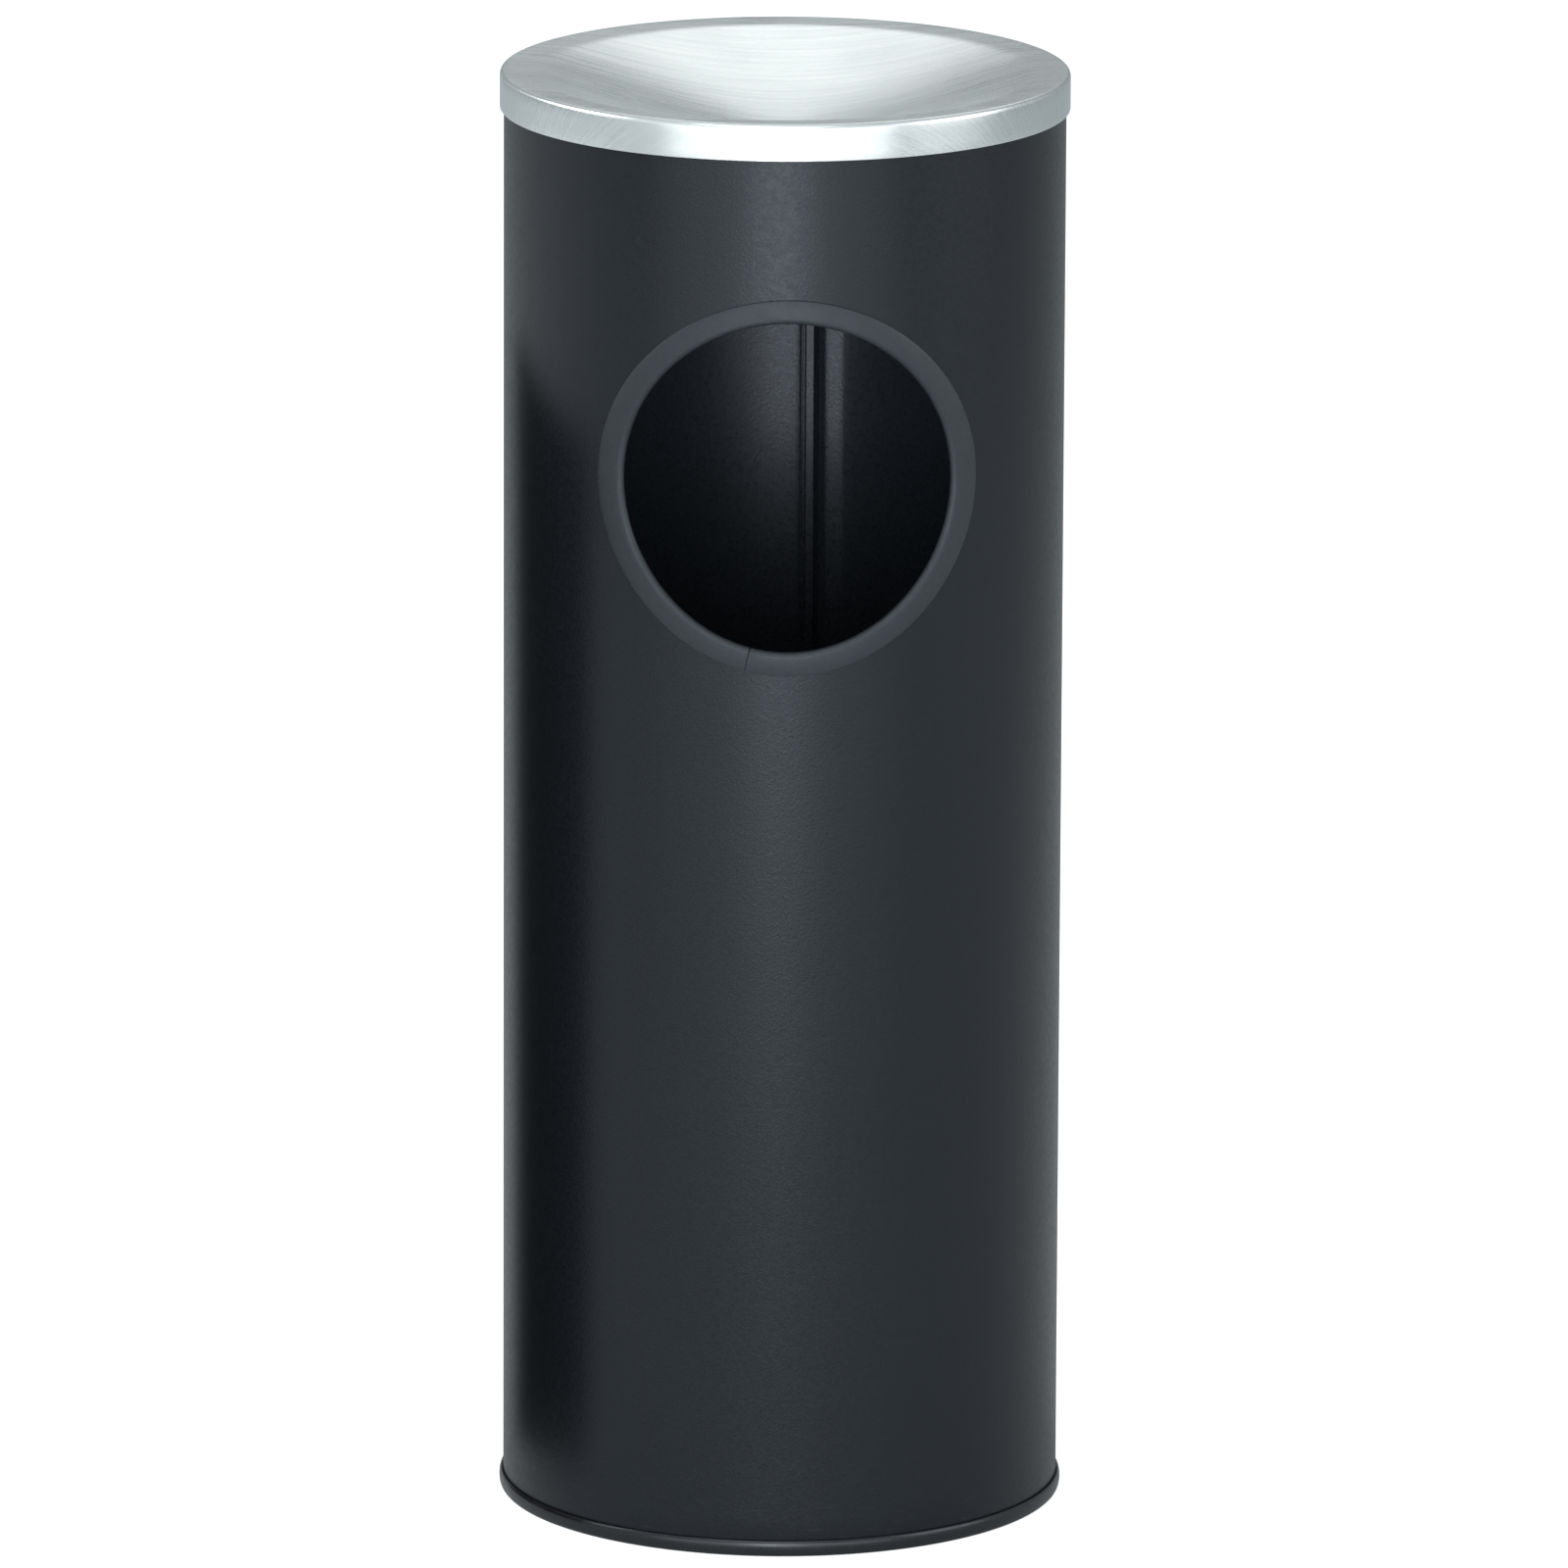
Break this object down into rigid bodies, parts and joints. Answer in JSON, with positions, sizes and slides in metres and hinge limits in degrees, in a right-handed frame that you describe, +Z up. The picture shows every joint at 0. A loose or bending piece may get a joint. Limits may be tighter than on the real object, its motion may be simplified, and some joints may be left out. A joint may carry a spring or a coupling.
{
  "type": "ashtray bin",
  "caption": "Tall round metal waste bin with a round front opening, a lift-off shallow ash dish as its lid and a lift-out inner liner with a wire bail.",
  "frame": {"origin": "centre of the footprint, on the floor", "axes": "+Z up along the bin's axis; the waste opening faces -Y and the body's seam is at the back, +Y"},
  "size_m": [0.2536, 0.2536, 0.65],
  "materials": {
    "charcoal_paint": "satin fine-texture powder coat, charcoal",
    "satin_aluminium": "linear brushed, satin",
    "black_vinyl": "satin soft vinyl, black",
    "galvanised_steel": "dull spangled zinc"
  },
  "bodies": {
    "body": {"body_shell": "charcoal_paint", "bottom_pan": "charcoal_paint", "base_ring": "black_vinyl", "aperture_trim": "black_vinyl"},
    "dish": {"ash_dish": "satin_aluminium"},
    "liner": {"liner_shell": "galvanised_steel", "liner_bottom": "galvanised_steel", "liner_rim_wire": "galvanised_steel", "liner_ear_left": "galvanised_steel", "liner_ear_right": "galvanised_steel", "liner_rivet_1": "galvanised_steel", "liner_rivet_2": "galvanised_steel", "liner_rivet_3": "galvanised_steel", "liner_rivet_4": "galvanised_steel"},
    "bail": {"liner_bail": "galvanised_steel"}
  },
  "joints": [
    {"name": "liner_lift", "type": "slide", "parent": "body", "child": "liner", "axis": [0, 0, 1], "range_m": [0, 0.65]},
    {"name": "dish_lift", "type": "slide", "parent": "body", "child": "dish", "axis": [0, 0, 1], "range_m": [0, 0.975]},
    {"name": "bail_swing", "type": "hinge", "parent": "liner", "child": "bail", "pos_m": [0, 0, 0.3143], "axis": [1, 0, 0], "range_deg": [0, 222]}
  ],
  "couplings": [
    {"joint": "dish_lift", "follows": "liner_lift", "ratio": 1.5}
  ]
}
